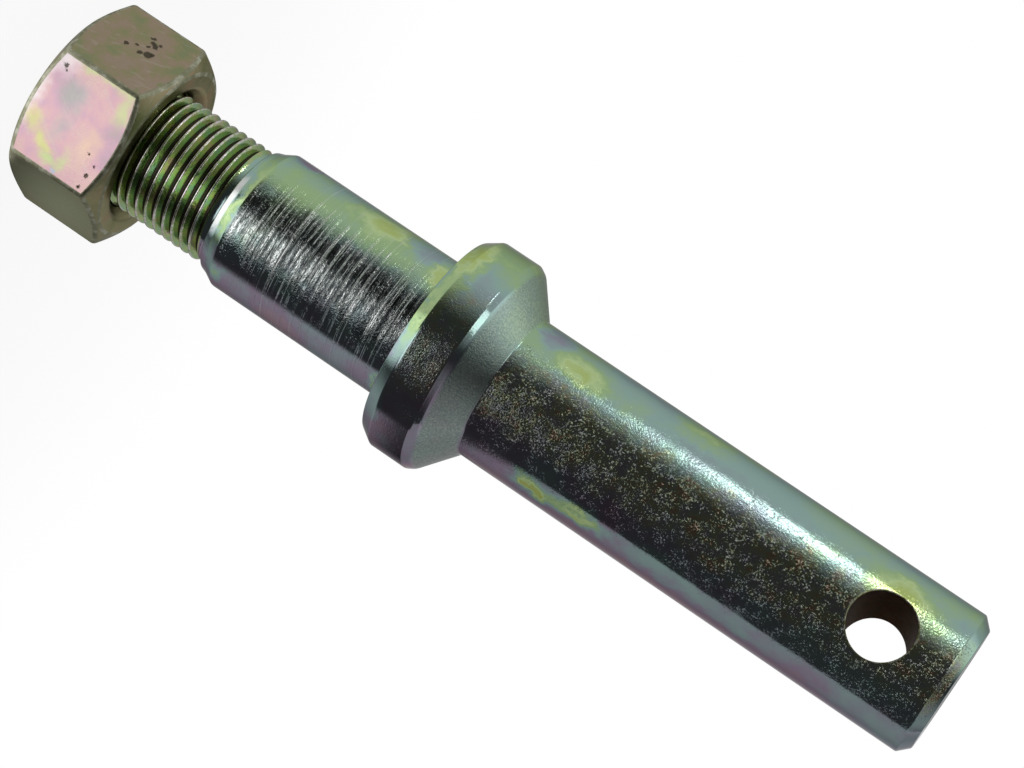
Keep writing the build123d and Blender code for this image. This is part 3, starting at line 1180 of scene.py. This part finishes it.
def mirrored_floor(tree, studio, where, away):
    """The floor as the metal sees it: white at the part's foot, fading to the dark room in front."""
    way = direction_of(tree, where)
    beside = towards(tree, way, studio.azimuth + POOL_SIDE)
    pool = product(
        tree, fade(tree, beside, 0.90, 0.985), fade(tree, away, *POOL_END, 1.6, 0.0),
        fade(tree, away, *POOL_RISE, 0.76, 1.0))
    foot = product(tree, fade(tree, beside, 0.5, 0.85), fade(tree, away, *FOOT_END, 1.1, 0.0))
    left = towards(tree, way, studio.azimuth + LEFT_SIDE)
    glow = room_glow(tree, studio, way)
    paper = fade(tree, left, -0.2, 0.2, 0.86 * studio.side_level, 1.15 * studio.side_level)
    sides = blend(tree, fade(tree, away, *SIDES_END, 1.0, 0.0), glow, paper)
    facing = node(tree, "ShaderNodeVectorRotate", {"Vector": where, "Angle": -studio.azimuth},
                  rotation_type="Z_AXIS").outputs[0]
    ahead = node(tree, "ShaderNodeSeparateXYZ", {0: facing}).outputs["X"]
    ahead = maths(tree, "ADD", ahead, fade(tree, left, -0.2, 0.2, 0.045, 0.0))
    sides = blend(tree, fade(tree, ahead, *FRONT_START), sides, glow)
    return larger(tree, larger(tree, pool, foot), sides)


def floor_paper(studio):
    """White to the camera with a soft shadow at the part's foot, and its own brightness in reflections."""
    material = bpy.data.materials.new("floor_paper")
    material.use_nodes = True
    tree = material.node_tree
    tree.nodes.clear()
    rays = node(tree, "ShaderNodeLightPath").outputs
    where = node(tree, "ShaderNodeTexCoord").outputs["Object"]
    away = length_of(tree, where)
    mirrored = mirrored_floor(tree, studio, where, away)
    seen = node(tree, "ShaderNodeEmission", {"Strength": mirrored}).outputs[0]
    paper = node(tree, "ShaderNodeBsdfDiffuse", {"Color": (0.8, 0.8, 0.8)}).outputs[0]
    white = node(tree, "ShaderNodeEmission", {"Strength": 1.0}).outputs[0]
    share = product(tree, rays["Is Camera Ray"], fade(tree, away, *SHADOW_END, 0.92, 1.0))
    shown = node(tree, "ShaderNodeMixShader", {0: share, 1: paper, 2: white}).outputs[0]
    mixed = node(tree, "ShaderNodeMixShader", {0: rays["Is Glossy Ray"], 1: shown, 2: seen}).outputs[0]
    node(tree, "ShaderNodeOutputMaterial", {"Surface": mixed})
    return material


def make_floor(studio):
    """A wide pale floor."""
    bpy.ops.object.select_all(action="DESELECT")
    bpy.ops.mesh.primitive_plane_add(size=FLOOR_SIZE)
    floor = bpy.context.object
    floor.name = "floor"
    floor.data.materials.append(floor_paper(studio))
    return floor


def make_world(studio):
    """A dim room with a pale ceiling to the left and right, that shows white to the camera."""
    world = bpy.data.worlds.new("room")
    bpy.context.scene.world = world
    world.use_nodes = True
    tree = world.node_tree
    background = tree.nodes["Background"]
    rays = node(tree, "ShaderNodeLightPath").outputs
    way = node(tree, "ShaderNodeTexCoord").outputs["Generated"]
    left = towards(tree, way, studio.azimuth + LEFT_SIDE)
    up = node(tree, "ShaderNodeSeparateXYZ", {0: way}).outputs["Z"]
    ceiling = maths(
        tree, "ADD", fade(tree, left, 0.05, 0.45, 0.0, 0.5), fade(tree, left, -0.05, -0.5, 0.0, 0.3))
    glow = maths(tree, "MULTIPLY_ADD", ceiling, fade(tree, up, 0.6, 0.8), room_glow(tree, studio, way))
    feed(background.inputs["Strength"], blend(tree, rays["Is Camera Ray"], glow, 1.0))
    feed(background.inputs["Color"], (1, 1, 1))


# Panel and registration


class HITCHPIN_PT_panel(bpy.types.Panel):
    """Lists the steps, the sizes and the colours of the hitch pin"""

    bl_idname = "HITCHPIN_PT_panel"
    bl_label = "Hitch Pin"
    bl_space_type = "VIEW_3D"
    bl_region_type = "UI"
    bl_category = "Hitch Pin"

    def draw(self, context):
        scene = context.scene
        groups = (
            (HITCHPIN_OT_turn_pin, scene.hitch_pin_sizes),
            (HITCHPIN_OT_make_nut, scene.hex_nut_sizes),
            (HITCHPIN_OT_set_studio, scene.hitch_pin_studio),
            (None, scene.hitch_pin_colours),
        )
        for operator, settings in groups:
            box = self.layout.box()
            if operator:
                box.operator(operator.bl_idname)
            else:
                box.label(text="Colours of the plating")
            for name in settings.bl_rna.properties.keys():
                if name not in ("rna_type", "name"):
                    box.prop(settings, name)


CLASSES = (
    HitchPinSizes,
    HexNutSizes,
    PlatingColours,
    StudioSettings,
    HITCHPIN_OT_turn_pin,
    HITCHPIN_OT_make_nut,
    HITCHPIN_OT_set_studio,
    HITCHPIN_PT_panel,
)


def register():
    """Registers the classes and gives the scene their settings."""
    for cls in CLASSES:
        bpy.utils.register_class(cls)
    bpy.types.Scene.hitch_pin_sizes = bpy.props.PointerProperty(type=HitchPinSizes)
    bpy.types.Scene.hex_nut_sizes = bpy.props.PointerProperty(type=HexNutSizes)
    bpy.types.Scene.hitch_pin_colours = bpy.props.PointerProperty(type=PlatingColours)
    bpy.types.Scene.hitch_pin_studio = bpy.props.PointerProperty(type=StudioSettings)


def unregister():
    """Takes back what register did."""
    del bpy.types.Scene.hitch_pin_studio
    del bpy.types.Scene.hitch_pin_colours
    del bpy.types.Scene.hex_nut_sizes
    del bpy.types.Scene.hitch_pin_sizes
    for cls in reversed(CLASSES):
        bpy.utils.unregister_class(cls)


def plain(box):
    """A box's two corners as plain lists of numbers."""
    return [[float(value) for value in corner] for corner in box]


def main():
    """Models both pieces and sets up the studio."""
    register()
    bpy.ops.hitchpin.turn_pin()
    bpy.ops.hitchpin.make_nut()
    bpy.ops.hitchpin.set_studio()
    {"cad": plain(CAD_BOX), "visual": plain(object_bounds())}


if __name__ == "__main__":
    main()
